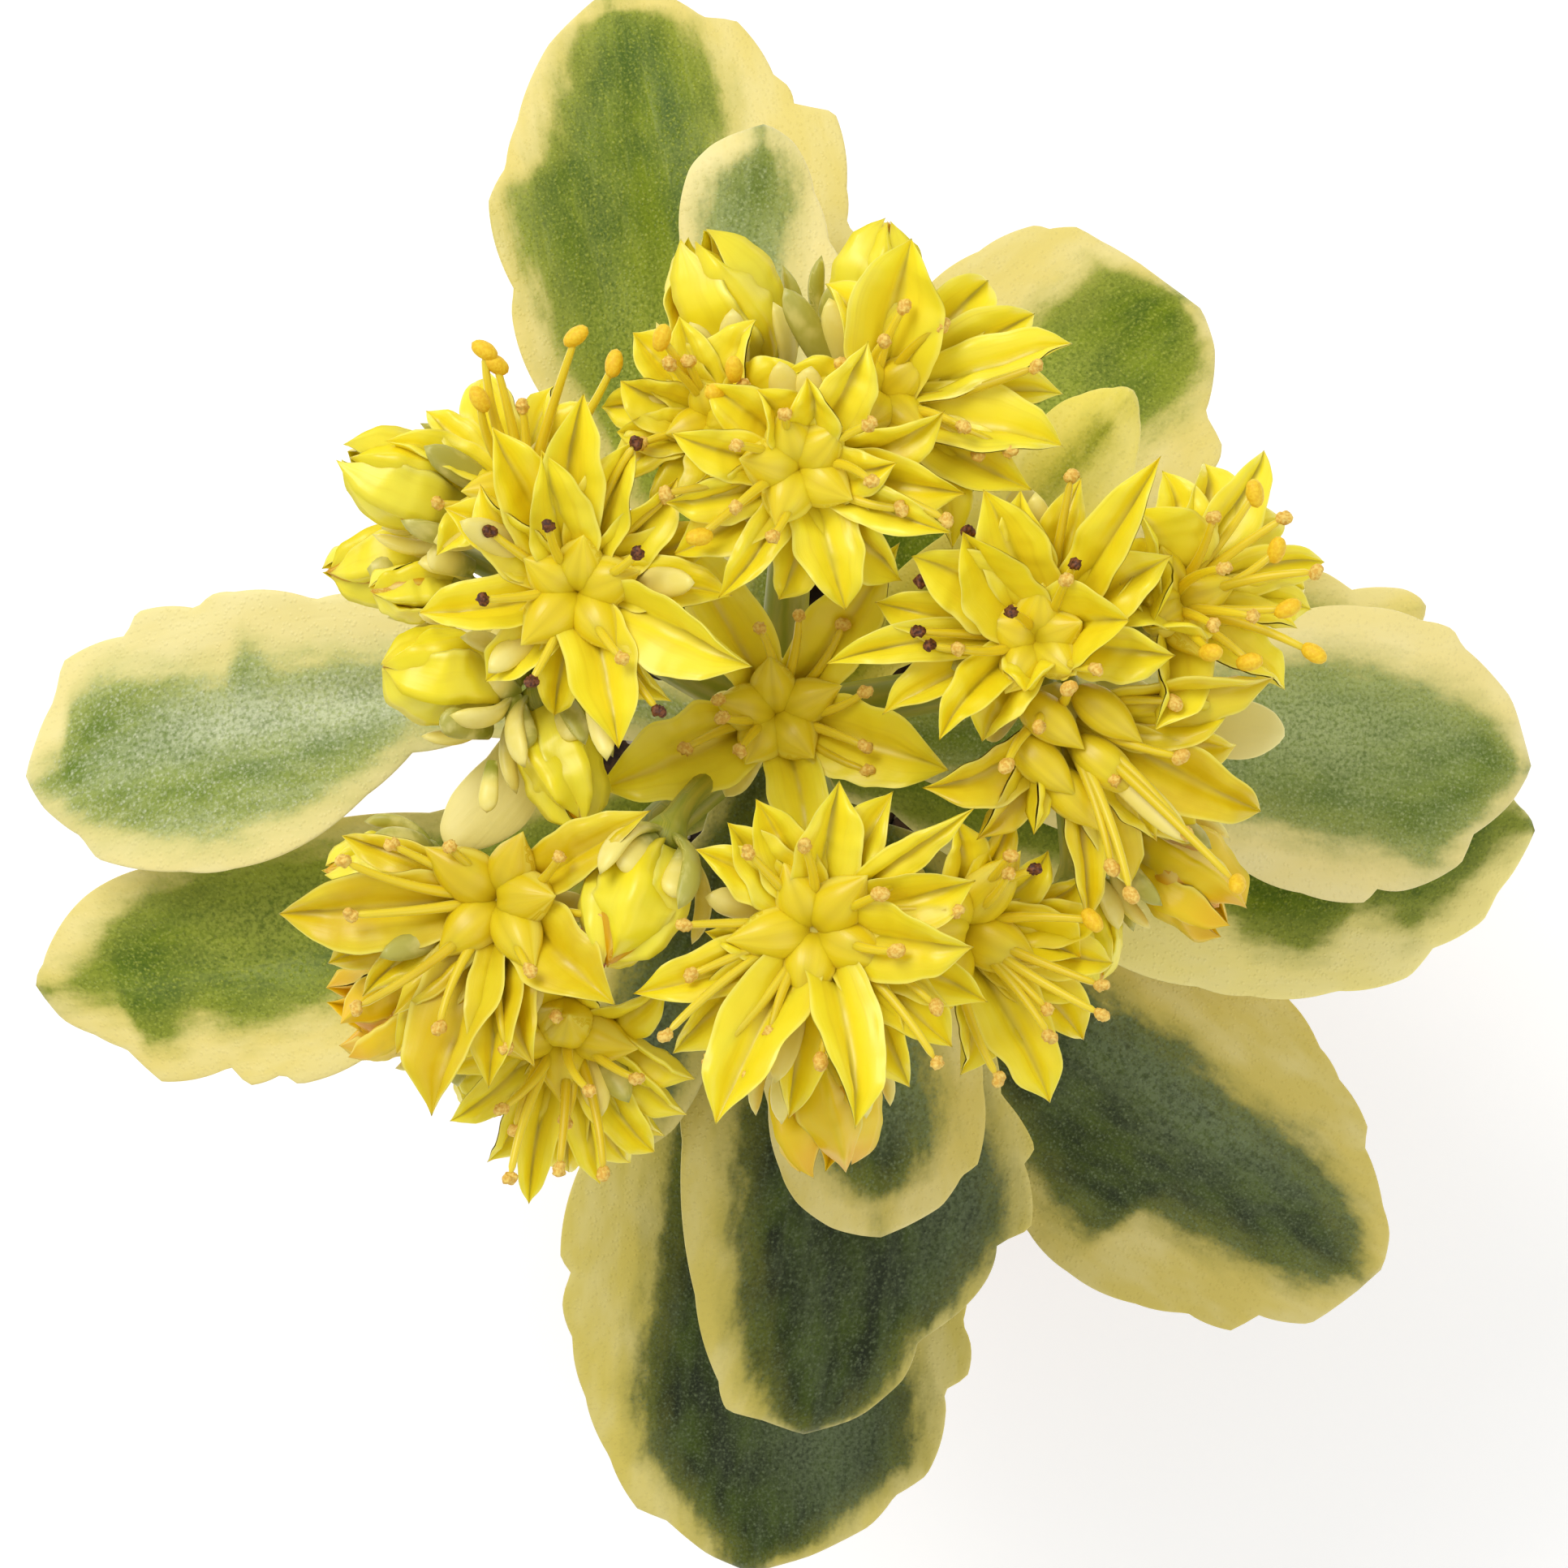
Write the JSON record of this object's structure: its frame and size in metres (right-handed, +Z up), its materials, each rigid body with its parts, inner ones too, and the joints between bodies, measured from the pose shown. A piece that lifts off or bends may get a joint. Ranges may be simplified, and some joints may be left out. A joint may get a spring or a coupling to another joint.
{
  "type": "potted stonecrop",
  "caption": "Variegated stonecrop in flower in a small clay pot: one leafy stem with cream-edged leaves, topped by a flat head of yellow star flowers.",
  "frame": {"origin": "middle of the pot's foot, on the surface that the pot stands on", "axes": "+Z up from the pot to the flowers, -Y towards the front, which is the picture's lower edge, +X to the right"},
  "size_m": [0.0775, 0.0825, 0.0971],
  "materials": {
    "clay": "matte",
    "soil": "matte",
    "stem": "satin",
    "leaf": "satin",
    "bract": "satin",
    "petal": "satin",
    "bud": "satin"
  },
  "bodies": {
    "root": {"pot": "clay", "soil": "soil", "stem": "stem", "leaf_back_large": "leaf", "leaf_back_small": "leaf", "leaf_back_right": "leaf", "leaf_back_right_small": "leaf", "leaf_right": "leaf", "leaf_right_low": "leaf", "leaf_right_hidden": "leaf", "leaf_front_right": "leaf", "leaf_front_large": "leaf", "leaf_front": "leaf", "leaf_front_small": "leaf", "leaf_front_left_small": "leaf", "leaf_left": "leaf", "leaf_front_left": "leaf", "bract_left": "bract", "bract_right": "bract", "bract_back_right": "bract", "flower_centre_1": "petal", "flower_left_1": "petal", "flower_left_2": "petal", "flower_back_1": "petal", "flower_back_2": "petal", "flower_back_3": "petal", "flower_right_1": "petal", "flower_right_2": "petal", "flower_right_3": "petal", "flower_front_1": "petal", "flower_front_2": "petal", "flower_front_left_1": "petal", "flower_front_left_2": "petal", "bud_1": "bud", "bud_2": "bud", "bud_3": "bud", "bud_4": "bud", "bud_5": "bud", "bud_6": "bud", "bud_7": "bud", "bud_8": "bud", "bud_9": "bud", "bud_10": "bud", "bud_11": "bud", "bud_12": "bud", "bud_13": "bud", "bud_14": "bud"}
  },
  "joints": []
}
